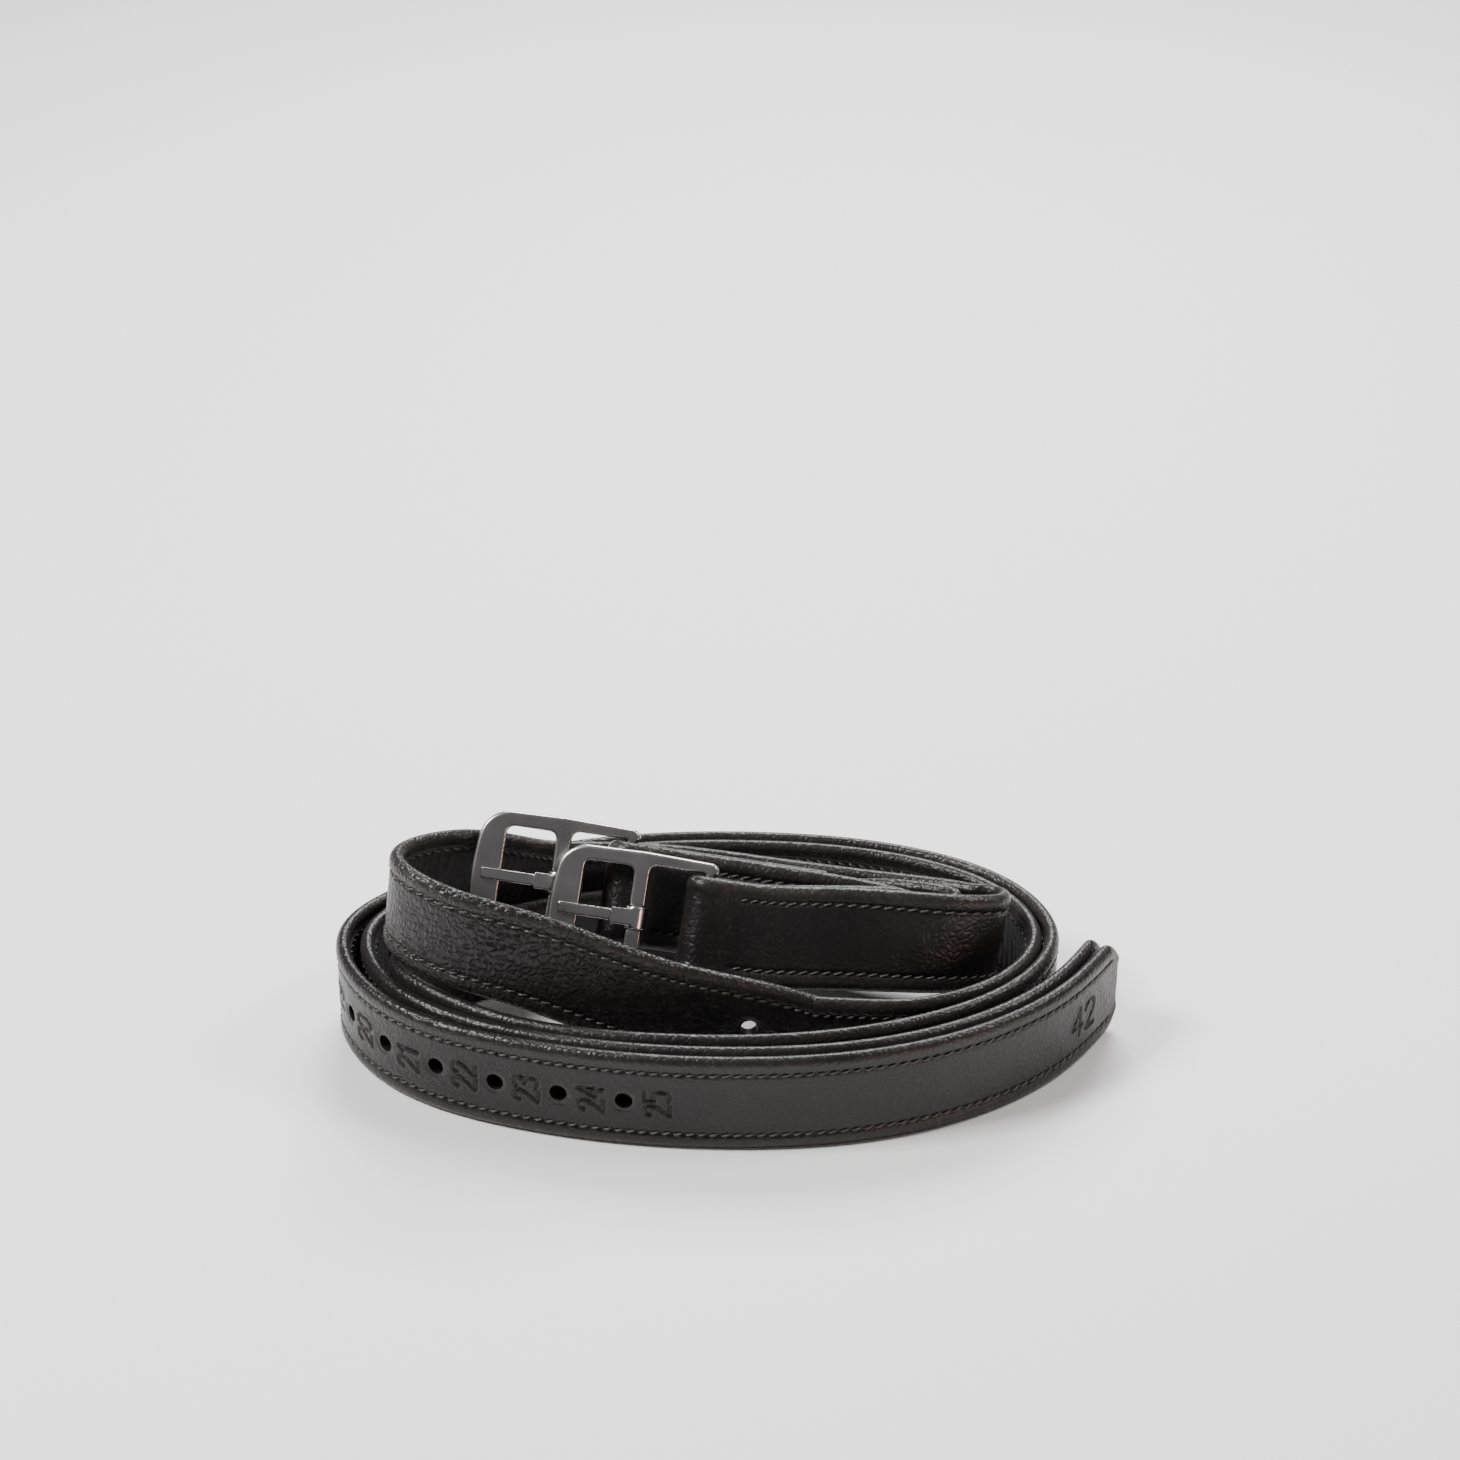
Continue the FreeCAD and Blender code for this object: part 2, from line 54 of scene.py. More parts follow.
camera = bpy.data.objects.new("camera", bpy.data.cameras.new("camera"))
bpy.context.scene.collection.objects.link(camera)
camera.location = [v * MM for v in CAMERA_PLACE]
camera.rotation_euler = (math.radians(CAMERA_TILT), 0.0, 0.0)
camera.data.lens = CAMERA_LENS
camera.data.clip_end = 50.0
bpy.context.scene.camera = camera

# ---------------------------------------------------------------- strap routes, as in the CAD source

ORIGIN = np.array((-0.409, 53.553, 0.0))

# x, y and height of the middle surface's lower edge, lean of the upper edge inwards in degrees
NEAR_START = [
    (-8.7, 43.2, 19.8, 30.0), (7.0, 41.4, 18.5, 29.0), (24.0, 41.0, 18.2, 26.0), (42.0, 42.2, 16.8, 18.0),
    (56.0, 46.5, 14.2, 6.0), (63.0, 55.0, 10.5, -4.0), (57.0, 63.5, 8.0, -6.0), (38.0, 71.8, 6.5, -5.0),
    (6.0, 81.0, 6.5, -2.0), (-25.0, 83.3, 9.4, 1.0), (-53.0, 77.4, 13.4, 1.0), (-73.3, 64.6, 22.9, 4.0),
    (-82.0, 49.5, 26.8, 7.0), (-71.0, 34.0, 26.6, 8.0), (-50.0, 27.7, 22.2, 6.0), (-23.0, 26.5, 11.5, 4.0),
    (4.0, 27.5, 4.0, 1.0),
]
FAR_START = [
    (-27.7, 55.4, 22.2, 30.0), (-5.0, 54.3, 18.9, 29.0), (16.0, 51.6, 16.8, 26.0), (35.0, 51.2, 13.2, 18.0),
    (47.5, 52.6, 11.0, 6.0), (53.5, 56.8, 10.5, -3.0), (47.0, 61.3, 9.8, -5.0), (30.0, 68.3, 6.0, -4.0),
    (3.0, 76.0, 1.5, -2.0), (-28.0, 76.4, 0.0, 0.0), (-54.0, 68.6, 0.0, 0.0), (-73.5, 56.8, 0.0, 0.0),
    (-80.5, 46.5, 0.0, 0.0), (-73.5, 35.0, 0.0, 0.0), (-50.0, 19.4, 0.0, 0.0), (-15.0, 12.2, 0.0, 0.0),
]
# the last turn and a half: x and y of the far strap, and the distance in to the near one
PACK = [
    (22.0, 13.6, 15.0), (48.0, 21.6, 6.5), (68.0, 35.5, 4.2), (78.3, 56.0, 4.2), (71.0, 79.0, 4.2),
    (48.0, 95.8, 4.2), (8.0, 104.2, 4.2), (-38.0, 100.3, 4.2), (-72.0, 85.0, 4.6), (-93.5, 61.0, 6.0),
    (-85.0, 32.5, 5.2), (-50.0, 10.6, 4.1), (0.0, 2.6, 4.1), (47.0, 10.4, 4.1), (80.0, 34.0, 4.1),
    (93.6, 55.0, 4.6),
]

# ---------------------------------------------------------------- strap sizes

WIDTH = 25.0
LAP_LENGTH = 48.0
LAP_HALF_GAP = 2.025        # run and lap stand this far off their common middle
FOLD_RADIUS = 3.6
FOLD_EASE = 10.0
TIP_LENGTH = 6.0
TIP_NARROWING = 0.45
TIP_ROUND = 1.2             # length over which the section closes at the tip
HOLE_RADIUS = 2.1
HOLE_PITCH = 15.5
HOLE_COUNT = 25
FIRST_HOLE_FROM_TIP = 138.5
LARGEST_NUMBER = 25

ROW_INSET = 4.25            # stitch row, from the strap's edge
ROW_START = 8.5             # from the end bar
ROW_END = 4.5               # from the tip
STITCH_PITCH = 2.75
EDGE_ROUND = 1.7
EDGE_MIDDLE = 0.1           # height of the edge's middle line
FACE = 1.66
BACK = 1.42
LINING_INSET = 3.3
LINING_FACE = 1.82


def unit(vectors):
    return vectors / np.linalg.norm(vectors, axis=-1, keepdims=True)


def smooth(x):
    x = np.clip(x, 0.0, 1.0)
    return x * x * (3.0 - 2.0 * x)


def hump(x, width):
    return np.exp(-(x / width) ** 2)


class Spline:
    """The natural cubic spline through stations, spaced by chord length."""

    def __init__(self, stations):
        self.points = np.array(stations, float)
        spans = np.linalg.norm(np.diff(self.points[:, :3], axis=0), axis=1)
        self.knots = np.concatenate([[0.0], np.cumsum(spans)])
        count = len(self.points)
        system = np.eye(count)
        right = np.zeros_like(self.points)
        for i in range(1, count - 1):
            system[i, i - 1:i + 2] = spans[i - 1], 2.0 * (spans[i - 1] + spans[i]), spans[i]
            rise = (self.points[i + 1] - self.points[i]) / spans[i]
            fall = (self.points[i] - self.points[i - 1]) / spans[i - 1]
            right[i] = 6.0 * (rise - fall)
        self.bend = np.linalg.solve(system, right)

    def at(self, t):
        i = np.clip(np.searchsorted(self.knots, t, side="right") - 1, 0, len(self.knots) - 2)
        span = (self.knots[i + 1] - self.knots[i])[:, None]
        b = (t - self.knots[i])[:, None] / span
        a = 1.0 - b
        value = a * self.points[i] + b * self.points[i + 1]
        return value + ((a**3 - a) * self.bend[i] + (b**3 - b) * self.bend[i + 1]) * span**2 / 6.0


class Strap:
    """One leather: frames (place, along, up, out) at any distance from its end bar."""

    def __init__(self, name, stations):
        self.name = name
        spline = Spline(stations)
        t = np.linspace(0.0, spline.knots[-1], 4000)
        self.values = spline.at(t)
        self.values[:, 2] = np.maximum(self.values[:, 2], 0.0)
        self.values[:, :3] -= ORIGIN
        steps = np.linalg.norm(np.diff(self.values[:, :3], axis=0), axis=1)
        self.travelled = np.concatenate([[0.0], np.cumsum(steps)])
        self.total = self.travelled[-1]

    def value(self, distance):
        return np.stack([np.interp(distance, self.travelled, column) for column in self.values.T], axis=-1)

    def run_frames(self, distance):
        """place, along, up and out of the middle surface's lower edge."""
        distance = np.asarray(distance, float)
        value = self.value(distance)
        reach = 2.0
        along = unit(self.value(distance + reach)[..., :3] - self.value(distance - reach)[..., :3])
        level = unit(np.stack([along[..., 1], -along[..., 0], np.zeros(distance.shape)], axis=-1))
        lean = np.radians(value[..., 3])[..., None]
        up = np.array((0.0, 0.0, 1.0)) * np.cos(lean) - level * np.sin(lean)
        up = unit(up - along * np.sum(up * along, axis=-1, keepdims=True))
        return value[..., :3], along, up, np.cross(along, up)

    def stand_off(self, distance):
        share = np.clip(np.abs(distance) / FOLD_EASE, 0.0, 1.0)
        return LAP_HALF_GAP + (FOLD_RADIUS - LAP_HALF_GAP) * (0.5 + 0.5 * np.cos(math.pi * share))

    def frames(self, distance):
        """As run_frames, for the folded strap: negative distances are on the lap."""
        distance = np.asarray(distance, float)
        lap = (distance < 0.0)[..., None]
        place, along, up, out = self.run_frames(np.abs(distance))
        off = self.stand_off(distance)[..., None]
        middle = place - out * LAP_HALF_GAP
        return (middle + np.where(lap, -out, out) * off, np.where(lap, -along, along), up,
                np.where(lap, -out, out))

    def fold(self, angles):
        """Frames round the half turn at the end bar, for angles from 0 (lap) to pi (run)."""
        place, along, up, out = (v[0] for v in self.run_frames(np.zeros(1)))
        centre = place - out * LAP_HALF_GAP
        cos = np.cos(angles)[:, None]
        sin = np.sin(angles)[:, None]
        turned_out = -out * cos - along * sin
        turned_along = out * sin - along * cos
        return centre + turned_out * FOLD_RADIUS, turned_along, np.tile(up, (len(angles), 1)), turned_out

    def whole(self, run_distances):
        """Distances and frames of the lap, the fold and the run, in one line."""
        lap = -np.arange(LAP_LENGTH, 0.0, -1.0)
        angles = np.linspace(0.0, math.pi, 26)[1:-1]
        parts = [self.frames(lap), self.fold(angles), self.frames(run_distances)]
        distance = np.concatenate([lap, np.zeros(len(angles)), run_distances])
        return distance, [np.concatenate(group) for group in zip(*parts)]

    def bend(self, distance):
        """How sharply the strap turns, per millimetre, in the coil's direction."""
        _, before, _, _ = self.run_frames(np.maximum(distance - 3.0, 0.0))
        _, after, _, _ = self.run_frames(np.minimum(distance + 3.0, self.total))
        return (before[..., 0] * after[..., 1] - before[..., 1] * after[..., 0]) / 6.0


def out_of_coil(points, index):
    before = points[max(index - 1, 0)]
    after = points[min(index + 1, len(points) - 1)]
    along = (after[0] - before[0], after[1] - before[1])
    length = math.hypot(*along)
    return along[1] / length, -along[0] / length


def near_pack():
    stations = []
    for index, (x, y, gap) in enumerate(PACK):
        out = out_of_coil(PACK, index)
        stations.append((x - gap * out[0], y - gap * out[1], 0.0, 0.0))
    return stations


STRAPS = [Strap("near", NEAR_START + near_pack()),
          Strap("far", FAR_START + [(x, y, 0.0, 0.0) for x, y, _ in PACK])]

# ---------------------------------------------------------------- stamped numbers

# strokes of the figures in a box 1 wide and 2 high
FIGURES = {
    "0": [[(0, .5), (0, 1.5), (.25, 1.9), (.5, 2), (.75, 1.9), (1, 1.5), (1, .5), (.75, .1), (.5, 0),
           (.25, .1), (0, .5)]],
    "1": [[(.15, 1.55), (.55, 2), (.55, 0)]],
    "2": [[(0, 1.5), (.2, 1.9), (.5, 2), (.85, 1.85), (1, 1.45), (.85, 1.05), (0, 0), (1, 0)]],
    "3": [[(0, 1.8), (.4, 2), (.85, 1.85), (.95, 1.45), (.75, 1.1), (.4, 1.05), (.8, .95), (1, .6), (.9, .2),
           (.5, 0), (0, .2)]],
    "4": [[(.72, 0), (.72, 2), (0, .6), (1, .6)]],
    "5": [[(.95, 2), (.1, 2), (.05, 1.15), (.5, 1.3), (.9, 1.1), (1, .65), (.85, .2), (.45, 0), (0, .15)]],
    "6": [[(.9, 1.85), (.5, 2), (.15, 1.7), (0, 1), (.05, .4), (.45, 0), (.85, .2), (1, .6), (.85, 1.0),
           (.5, 1.15), (.05, .9)]],
    "7": [[(0, 2), (1, 2), (.35, 0)]],
    "8": [[(.5, 1.1), (.15, 1.3), (.1, 1.7), (.5, 2), (.9, 1.7), (.85, 1.3), (.5, 1.1), (.1, .8), (0, .4),
           (.5, 0), (1, .4), (.9, .8), (.5, 1.1)]],
    "9": [[(.1, .15), (.5, 0), (.85, .3), (1, 1), (.95, 1.6), (.55, 2), (.15, 1.8), (0, 1.4), (.15, 1),
           (.5, .85), (.95, 1.1)]],
}
FIGURE_HEIGHT = 6.0
FIGURE_WIDTH = 2.8
FIGURE_GAP = 1.0
STROKE = 0.36               # half width of a stamped stroke
TIP_NUMBER = "42"
TIP_NUMBER_AT = 19.0        # from the tip
TIP_FIGURE_HEIGHT = 7.4
TIP_FIGURE_WIDTH = 4.2
TIP_FIGURE_GAP = 1.4


def stroke_distance(x, y, text, height, width, gap):
    """Distance from points to the strokes of a number that is centred on the origin."""
    nearest = np.full(x.shape, 1e3)
    start = -(len(text) * (width + gap) - gap) / 2.0
    for place, figure in enumerate(text):
        left = start + place * (width + gap)
        for line in FIGURES[figure]:
            points = [(left + px * width, (py / 2.0 - 0.5) * height) for px, py in line]
            for (ax, ay), (bx, by) in zip(points, points[1:]):
                dx, dy = bx - ax, by - ay
                share = np.clip(((x - ax) * dx + (y - ay) * dy) / (dx * dx + dy * dy), 0.0, 1.0)
                nearest = np.minimum(nearest, np.hypot(x - ax - share * dx, y - ay - share * dy))
    return nearest


def stamped(nearest):
    """Depth of the stamped figures and the small ridge that their edges push up."""
    return -0.55 * smooth((STROKE + 0.25 - nearest) / 0.4) + 0.12 * hump(nearest - STROKE - 0.6, 0.32)


def hole_distances(strap):
    return [strap.total - FIRST_HOLE_FROM_TIP - i * HOLE_PITCH for i in range(HOLE_COUNT)]


def relief(strap, distance, u):
    """Height that holes, numbers, grooves and creases add to the outer face, and how much wear it shows."""
    s, across = np.meshgrid(distance, u, indexing="ij")
    edge = np.minimum(across, WIDTH - across)
    sewn = smooth((s - ROW_START + 1.5) / 2.0) * smooth((strap.total - ROW_END + 1.0 - s) / 2.0)
    sewn = np.where(s < 0.0, smooth((-s - ROW_START + 1.5) / 2.0), sewn)
    pull = 0.5 + 0.5 * np.cos(2.0 * math.pi * s / STITCH_PITCH)
    height = -(0.30 + 0.20 * pull) * hump(edge - ROW_INSET, 0.5) * sewn
    height += 0.26 * hump(edge - 2.3, 1.25) + 0.06 * pull * hump(edge - ROW_INSET + 0.95, 0.4) * sewn
    worn = 0.6 * hump(edge - 1.9, 0.9)
    phase = 0.9 * np.sin(0.37 * s) + 0.6 * np.sin(0.91 * s + 0.4 * across)
    height += 0.035 * np.sin(0.55 * s + 0.3 * across + phase) * smooth((edge - 5.0) / 2.0)
    middle = across - WIDTH / 2.0
    for number, at in enumerate(hole_distances(strap)):
        rows = np.abs(distance - at) < HOLE_PITCH
        if not rows.any():
            continue
        away = np.hypot(s[rows] - at, middle[rows])
        height[rows] += -0.30 * hump(away - HOLE_RADIUS, 0.75)
        height[rows] += 0.08 * hump(away - HOLE_RADIUS - 1.3, 0.5)
        worn[rows] = np.maximum(worn[rows], 0.8 * hump(away - HOLE_RADIUS - 0.3, 0.4))
        nearest = stroke_distance(middle[rows], at + HOLE_PITCH / 2.0 - s[rows], str(LARGEST_NUMBER - number),
                                  FIGURE_HEIGHT, FIGURE_WIDTH, FIGURE_GAP)
        height[rows] += stamped(nearest)
        worn[rows] = np.maximum(worn[rows], 0.7 * hump(nearest - STROKE - 0.3, 0.3))
    rows = strap.total - distance < 2.0 * TIP_NUMBER_AT
    nearest = stroke_distance(s[rows] - (strap.total - TIP_NUMBER_AT), middle[rows], TIP_NUMBER,
                              TIP_FIGURE_HEIGHT, TIP_FIGURE_WIDTH, TIP_FIGURE_GAP)
    height[rows] += stamped(nearest)
    return height, np.clip(worn, 0.0, 1.0)


# ---------------------------------------------------------------- materials


def material(name):
    made = bpy.data.materials.new(name)
    made.use_nodes = True
    nodes = made.node_tree.nodes
    return made, nodes, made.node_tree.links, nodes["Principled BSDF"]


def add_node(nodes, kind, **settings):
    made = nodes.new(kind)
    for key, value in settings.items():
        if key in made.inputs:
            made.inputs[key].default_value = value
        else:
            setattr(made, key, value)
    return made


def ramp(nodes, stops):
    made = nodes.new("ShaderNodeValToRGB")
    elements = made.color_ramp.elements
    for index, (place, colour) in enumerate(stops):
        element = elements[index] if index < 2 else elements.new(place)
        element.position = place
        element.color = (*colour, 1.0)
    return made


def leather(name, dark, light, cell, grain, roughness, wear_and_highlight_colour):
    """Grained leather: cells with creases between them, painted shade in the creases, fine pores, mottled
    colour, and a lighter colour for wear at edges and hole rims and for painted highlight on the lining.
    """
    made, nodes, links, shader = material(name)
    where = add_node(nodes, "ShaderNodeTexCoord")
    warp = add_node(nodes, "ShaderNodeTexNoise", Scale=160.0, Detail=2.0)
    moved = add_node(nodes, "ShaderNodeMixRGB", blend_type="ADD", Fac=0.004)
    cells = add_node(nodes, "ShaderNodeTexVoronoi", feature="DISTANCE_TO_EDGE", Scale=1.0 / cell)
    creases = ramp(nodes, [(0.0, (0, 0, 0)), (0.3, (1, 1, 1))])
    pores = add_node(nodes, "ShaderNodeTexNoise", Scale=1500.0, Detail=3.0, Roughness=0.5)
    patches = add_node(nodes, "ShaderNodeTexNoise", Scale=45.0, Detail=5.0, Roughness=0.55)
    amount = add_node(nodes, "ShaderNodeAttribute", attribute_name="grain")
    worn = add_node(nodes, "ShaderNodeAttribute", attribute_name="worn")
    links.new(where.outputs["Object"], warp.inputs["Vector"])
    links.new(where.outputs["Object"], moved.inputs[1])
    links.new(warp.outputs["Color"], moved.inputs[2])
    links.new(moved.outputs[0], cells.inputs["Vector"])
    links.new(where.outputs["Object"], pores.inputs["Vector"])
    links.new(where.outputs["Object"], patches.inputs["Vector"])
    links.new(cells.outputs["Distance"], creases.inputs["Fac"])

    strength = add_node(nodes, "ShaderNodeMath", operation="MULTIPLY")
    strength.inputs[1].default_value = grain
    links.new(amount.outputs["Fac"], strength.inputs[0])
    coarse = add_node(nodes, "ShaderNodeBump", Distance=0.00022)
    links.new(strength.outputs[0], coarse.inputs["Strength"])
    links.new(creases.outputs["Color"], coarse.inputs["Height"])
    fine = add_node(nodes, "ShaderNodeBump", Distance=0.00005, Strength=0.25)
    links.new(pores.outputs["Fac"], fine.inputs["Height"])
    links.new(coarse.outputs["Normal"], fine.inputs["Normal"])
    links.new(fine.outputs["Normal"], shader.inputs["Normal"])

    tone = ramp(nodes, [(0.3, dark), (0.7, light)])
    links.new(patches.outputs["Fac"], tone.inputs["Fac"])
    # Lighter colour: wear on the cover's edges, hole rims and stamped figures, and painted highlight on the
    # lining's edge line and fold crests.
    lightened = add_node(nodes, "ShaderNodeMixRGB")
    lightened.inputs[2].default_value = (*wear_and_highlight_colour, 1.0)
    lighten_amount = add_node(nodes, "ShaderNodeMath", operation="MULTIPLY")
    links.new(worn.outputs["Fac"], lighten_amount.inputs[0])
    links.new(patches.outputs["Fac"], lighten_amount.inputs[1])
    links.new(lighten_amount.outputs[0], lightened.inputs["Fac"])
    links.new(tone.outputs["Color"], lightened.inputs[1])
    # Painted shade: the colour is darkened in the creases between the grain's cells.
    painted_crease_shade = add_node(nodes, "ShaderNodeMixRGB", blend_type="MULTIPLY", Fac=0.35)
    links.new(lightened.outputs[0], painted_crease_shade.inputs[1])
    links.new(creases.outputs["Color"], painted_crease_shade.inputs[2])
    links.new(painted_crease_shade.outputs[0], shader.inputs["Base Color"])

    gloss = add_node(nodes, "ShaderNodeMapRange")
    gloss.inputs["To Min"].default_value = roughness - 0.07
    gloss.inputs["To Max"].default_value = roughness + 0.09
    links.new(patches.outputs["Fac"], gloss.inputs["Value"])
    links.new(gloss.outputs["Result"], shader.inputs["Roughness"])
    shader.inputs["Specular IOR Level"].default_value = 0.33
    shader.inputs["Sheen Weight"].default_value = 0.02
    return made


def thread_material():
    made, nodes, links, shader = material("waxed_thread")
    where = add_node(nodes, "ShaderNodeTexCoord")
    turn = add_node(nodes, "ShaderNodeTexWave", Scale=900.0, Distortion=1.5, Detail=1.0)
    turn.bands_direction = "DIAGONAL"
    links.new(where.outputs["Object"], turn.inputs["Vector"])
    bump = add_node(nodes, "ShaderNodeBump", Distance=0.00008, Strength=0.6)
    links.new(turn.outputs["Fac"], bump.inputs["Height"])
    links.new(bump.outputs["Normal"], shader.inputs["Normal"])
    # Painted shade: the thread is coloured darker in the grooves between its twists and lighter on the
    # ridges.
    tone = ramp(nodes, [(0.0, (0.018, 0.016, 0.016)), (1.0, (0.075, 0.068, 0.066))])
    links.new(turn.outputs["Fac"], tone.inputs["Fac"])
    links.new(tone.outputs["Color"], shader.inputs["Base Color"])
    shader.inputs["Roughness"].default_value = 0.42
    return made


def steel(name, tone, roughness):
    """Polished steel with fine rubbing marks and a little uneven shine."""
    made, nodes, links, shader = material(name)
    where = add_node(nodes, "ShaderNodeTexCoord")
    marks = add_node(nodes, "ShaderNodeTexNoise", Scale=3200.0, Detail=3.0)
    clouds = add_node(nodes, "ShaderNodeTexNoise", Scale=120.0, Detail=3.0)
    links.new(where.outputs["Object"], marks.inputs["Vector"])
    links.new(where.outputs["Object"], clouds.inputs["Vector"])
    bump = add_node(nodes, "ShaderNodeBump", Distance=0.00001, Strength=0.25)
    links.new(marks.outputs["Fac"], bump.inputs["Height"])
    links.new(bump.outputs["Normal"], shader.inputs["Normal"])
    gloss = add_node(nodes, "ShaderNodeMapRange")
    gloss.inputs["To Min"].default_value = roughness - 0.06
    gloss.inputs["To Max"].default_value = roughness + 0.1
    links.new(clouds.outputs["Fac"], gloss.inputs["Value"])
    links.new(gloss.outputs["Result"], shader.inputs["Roughness"])
    colour = ramp(nodes, [(0.25, [v * 0.85 for v in tone]), (0.75, tone)])
    links.new(clouds.outputs["Fac"], colour.inputs["Fac"])
    links.new(colour.outputs["Color"], shader.inputs["Base Color"])
    shader.inputs["Metallic"].default_value = 1.0
    return made


# The last colour of each is the lighter one for wear; on the lining it is also painted highlight.
COVER = leather("grained_cover", (0.007, 0.006, 0.006), (0.016, 0.0135, 0.0135), 0.0017, 0.85, 0.36,
                (0.05, 0.042, 0.04))
LINING = leather("smooth_lining", (0.016, 0.014, 0.015), (0.03, 0.026, 0.028), 0.0012, 0.25, 0.34,
                 (0.09, 0.08, 0.085))
THREAD = thread_material()
FRAME_STEEL = steel("frame_steel", (0.46, 0.44, 0.435), 0.27)
TONGUE_STEEL = steel("tongue_steel", (0.58, 0.56, 0.55), 0.2)

# ---------------------------------------------------------------- meshes of the straps


def make_object(name, points, faces, finish, attributes=None):
    mesh = bpy.data.meshes.new(name)
    mesh.from_pydata((np.asarray(points) * MM).tolist(), [], faces)
    for label, values in (attributes or {}).items():
        layer = mesh.attributes.new(label, "FLOAT", "POINT")
        layer.data.foreach_set("value", np.asarray(values, np.float32).ravel())
    mesh.validate()
    mesh.materials.append(finish)
    mesh.shade_smooth()
    made = bpy.data.objects.new(name, mesh)
    bpy.context.scene.collection.objects.link(made)
    return made


def tube_faces(rows, columns):
    """Quads of a closed tube of rows rings, and its two end faces."""
    ring = np.arange(columns)
    following = (ring + 1) % columns
    faces = []
    for row in range(rows - 1):
        low, high = row * columns, (row + 1) * columns
        faces += np.stack([low + ring, low + following, high + following, high + ring], axis=1).tolist()
    faces.append(list(range(columns))[::-1])
    faces.append([(rows - 1) * columns + i for i in range(columns)])
    return faces


def face_spacing(count):
    """Distances up a face, dense round its edges."""
    angles = np.radians(np.linspace(0.0, 90.0, 8)[:-1])
    rim = EDGE_ROUND * (1.0 - np.cos(angles))
    flat = np.linspace(EDGE_ROUND, WIDTH - EDGE_ROUND, count)
    return np.concatenate([rim, flat, (WIDTH - rim)[::-1]])


def rounded(u):
    edge = np.minimum(u, WIDTH - u)
    return np.sqrt(np.clip(1.0 - (1.0 - np.minimum(edge, EDGE_ROUND) / EDGE_ROUND) ** 2, 0.0, 1.0))


def narrowed(strap, distance, u):
    """u, drawn in towards the strap's middle near the tip, where the corners are clipped."""
    left = np.clip((strap.total - distance) / TIP_LENGTH, 0.0, 1.0)
    share = 1.0 - TIP_NARROWING * (1.0 - left) ** 2
    return WIDTH / 2.0 + (u - WIDTH / 2.0) * share


COARSE_STEP = 0.9           # mesh spacing along the strap, where nothing is stamped
FINE_STEP = 0.33            # where the far strap's numbers show
HIDDEN_STEP = 1.0           # where the near strap's numbers are hidden
HOLES_END = 118.0           # from the tip: where the last number beside a hole is past
TIP_NUMBER_START = 32.0     # from the tip


def run_spacing(strap):
    """Distances along the run, close together where the numbers show."""
    holes_start = strap.total - FIRST_HOLE_FROM_TIP - HOLE_COUNT * HOLE_PITCH
    holes_end = strap.total - HOLES_END
    number_start = strap.total - TIP_NUMBER_START
    stamped_step = FINE_STEP if strap.name == "far" else HIDDEN_STEP
    stretches = [(0.0, holes_start, COARSE_STEP), (holes_start, holes_end, stamped_step),
                 (holes_end, number_start, COARSE_STEP),
                 (number_start, strap.total - TIP_ROUND, stamped_step)]
    parts = [np.arange(low, high, step) for low, high, step in stretches]
    tip = strap.total - TIP_ROUND * (1.0 - np.sin(np.linspace(0.0, math.pi / 2.0, 5)))
    return np.concatenate(parts + [tip])


def tip_thinning(strap, distance):
    """The section closes in a rounded end over the last stretch of the tip."""
    left = np.clip((strap.total - distance) / TIP_ROUND, 0.0, 1.0)
    return 0.35 + 0.65 * np.sqrt(1.0 - (1.0 - left) ** 2)


def grain_amount(strap, distance):
    """How strongly the leather's cells show: most on the near strap's raised bend."""
    if strap.name == "far":
        return 0.45 + 0.0 * distance
    return 0.4 + 0.6 * hump(distance - 292.0, 48.0)


def cover(strap):
    distance, (place, along, up, out) = strap.whole(run_spacing(strap))
    u_front = face_spacing(58)
    u_back = face_spacing(26)[1:-1][::-1]
    height, worn = relief(strap, distance, u_front)
    front = EDGE_MIDDLE + (FACE + height - EDGE_MIDDLE) * rounded(u_front)
    edge = np.minimum(u_back, WIDTH - u_back)
    back_height = BACK + 0.2 * hump(edge - 2.0, 0.9)
    back = EDGE_MIDDLE - (back_height + EDGE_MIDDLE) * rounded(u_back)
    h = np.concatenate([front, np.tile(back, (len(distance), 1))], axis=1)
    h = EDGE_MIDDLE + (h - EDGE_MIDDLE) * tip_thinning(strap, distance)[:, None]
    u = narrowed(strap, distance[:, None], np.concatenate([u_front, u_back])[None, :])
    points = place[:, None, :] + up[:, None, :] * u[..., None] + out[:, None, :] * h[..., None]
    worn = np.concatenate([worn, np.tile(0.5 * hump(edge - 1.0, 0.8), (len(distance), 1))], axis=1)
    grain = np.tile(grain_amount(strap, distance)[:, None], (1, h.shape[1]))
    made = make_object(strap.name + "_cover_leather", points.reshape(-1, 3),
                       tube_faces(len(distance), h.shape[1]), COVER, {"worn": worn, "grain": grain})
    punch(strap, made)
    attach(made, "root")
    names = ("cover", "core", "reinforcing_tape")
    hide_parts(*[f"{strap.name}_{name}" for name in names])
    return made


CUTTER_SIDES = 28
CUTTER_LENGTH = 8.0         # more than the strap's thickness


